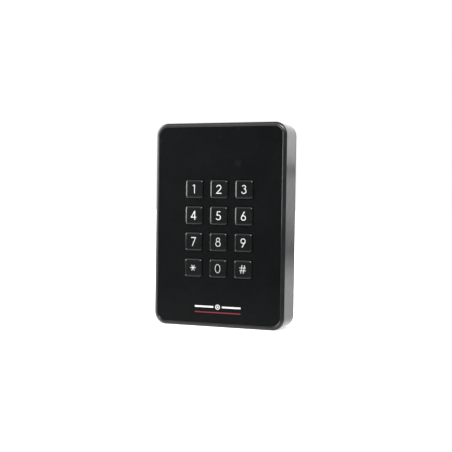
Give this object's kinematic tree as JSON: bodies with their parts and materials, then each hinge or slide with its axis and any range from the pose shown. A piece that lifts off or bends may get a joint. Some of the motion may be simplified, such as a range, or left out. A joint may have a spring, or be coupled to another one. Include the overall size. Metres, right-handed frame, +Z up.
{
  "type": "keypad access reader",
  "caption": "Wall-mounted door access reader with a numeric keypad, a status window and a proximity antenna behind a glossy panel.",
  "frame": {"origin": "centre of the wall plate's back face, on the wall", "axes": "+Z up, +Y into the wall, so the keys face -Y, and +X to the right of a person at the keypad"},
  "size_m": [0.081, 0.0215, 0.12],
  "materials": {
    "black_housing": "satin",
    "gloss_panel": "gloss",
    "white_print": "matt",
    "red_print": "matt",
    "tape": "matt",
    "smoked_lens": "gloss",
    "key_black": "satin",
    "key_white": "satin",
    "silicone": "matt",
    "carbon": "matt",
    "board_green": "satin",
    "screw_steel": "plated",
    "led_white": "satin",
    "chip_black": "matt",
    "can_metal": "satin",
    "copper": "enamelled",
    "terminal_green": "satin",
    "rubber_black": "matt",
    "brass": "plain",
    "dark_steel": "blackened"
  },
  "bodies": {
    "reader": {"front_housing": "black_housing", "front_panel": "gloss_panel", "panel_tape": "tape", "status_light_guide": "smoked_lens", "front_mark": "white_print", "front_line": "red_print", "keypad_mat": "silicone", "contact_pills": "carbon", "main_board": "board_green", "board_screws": "screw_steel", "backlight_leds": "led_white", "status_led": "led_white", "microcontroller": "chip_black", "reader_chip": "chip_black", "output_driver": "chip_black", "crystal": "can_metal", "capacitors": "can_metal", "voltage_regulator": "chip_black", "buzzer": "chip_black", "antenna_coil": "copper", "antenna_leads": "copper", "terminal_block": "terminal_green", "terminal_screws": "screw_steel", "tamper_sensor": "chip_black", "wall_plate": "black_housing", "rear_gasket": "rubber_black", "cable_grommet": "rubber_black", "threaded_insert": "brass", "security_screw": "dark_steel"},
    "key_1": {"key_1_cap": "key_black", "key_1_legend": "key_white"},
    "key_2": {"key_2_cap": "key_black", "key_2_legend": "key_white"},
    "key_3": {"key_3_cap": "key_black", "key_3_legend": "key_white"},
    "key_4": {"key_4_cap": "key_black", "key_4_legend": "key_white"},
    "key_5": {"key_5_cap": "key_black", "key_5_legend": "key_white"},
    "key_6": {"key_6_cap": "key_black", "key_6_legend": "key_white"},
    "key_7": {"key_7_cap": "key_black", "key_7_legend": "key_white"},
    "key_8": {"key_8_cap": "key_black", "key_8_legend": "key_white"},
    "key_9": {"key_9_cap": "key_black", "key_9_legend": "key_white"},
    "key_star": {"key_star_cap": "key_black", "key_star_legend": "key_white"},
    "key_0": {"key_0_cap": "key_black", "key_0_legend": "key_white"},
    "key_hash": {"key_hash_cap": "key_black", "key_hash_legend": "key_white"}
  },
  "joints": [
    {"name": "key_1_press", "type": "slide", "parent": "reader", "child": "key_1", "axis": [0, 1, 0], "range_m": [0, 0.0008], "stiffness_N_per_m": 300, "deforming": ["keypad_mat"]},
    {"name": "key_2_press", "type": "slide", "parent": "reader", "child": "key_2", "axis": [0, 1, 0], "range_m": [0, 0.0008], "stiffness_N_per_m": 300, "deforming": ["keypad_mat"]},
    {"name": "key_3_press", "type": "slide", "parent": "reader", "child": "key_3", "axis": [0, 1, 0], "range_m": [0, 0.0008], "stiffness_N_per_m": 300, "deforming": ["keypad_mat"]},
    {"name": "key_4_press", "type": "slide", "parent": "reader", "child": "key_4", "axis": [0, 1, 0], "range_m": [0, 0.0008], "stiffness_N_per_m": 300, "deforming": ["keypad_mat"]},
    {"name": "key_5_press", "type": "slide", "parent": "reader", "child": "key_5", "axis": [0, 1, 0], "range_m": [0, 0.0008], "stiffness_N_per_m": 300, "deforming": ["keypad_mat"]},
    {"name": "key_6_press", "type": "slide", "parent": "reader", "child": "key_6", "axis": [0, 1, 0], "range_m": [0, 0.0008], "stiffness_N_per_m": 300, "deforming": ["keypad_mat"]},
    {"name": "key_7_press", "type": "slide", "parent": "reader", "child": "key_7", "axis": [0, 1, 0], "range_m": [0, 0.0008], "stiffness_N_per_m": 300, "deforming": ["keypad_mat"]},
    {"name": "key_8_press", "type": "slide", "parent": "reader", "child": "key_8", "axis": [0, 1, 0], "range_m": [0, 0.0008], "stiffness_N_per_m": 300, "deforming": ["keypad_mat"]},
    {"name": "key_9_press", "type": "slide", "parent": "reader", "child": "key_9", "axis": [0, 1, 0], "range_m": [0, 0.0008], "stiffness_N_per_m": 300, "deforming": ["keypad_mat"]},
    {"name": "key_star_press", "type": "slide", "parent": "reader", "child": "key_star", "axis": [0, 1, 0], "range_m": [0, 0.0008], "stiffness_N_per_m": 300, "deforming": ["keypad_mat"]},
    {"name": "key_0_press", "type": "slide", "parent": "reader", "child": "key_0", "axis": [0, 1, 0], "range_m": [0, 0.0008], "stiffness_N_per_m": 300, "deforming": ["keypad_mat"]},
    {"name": "key_hash_press", "type": "slide", "parent": "reader", "child": "key_hash", "axis": [0, 1, 0], "range_m": [0, 0.0008], "stiffness_N_per_m": 300, "deforming": ["keypad_mat"]}
  ]
}
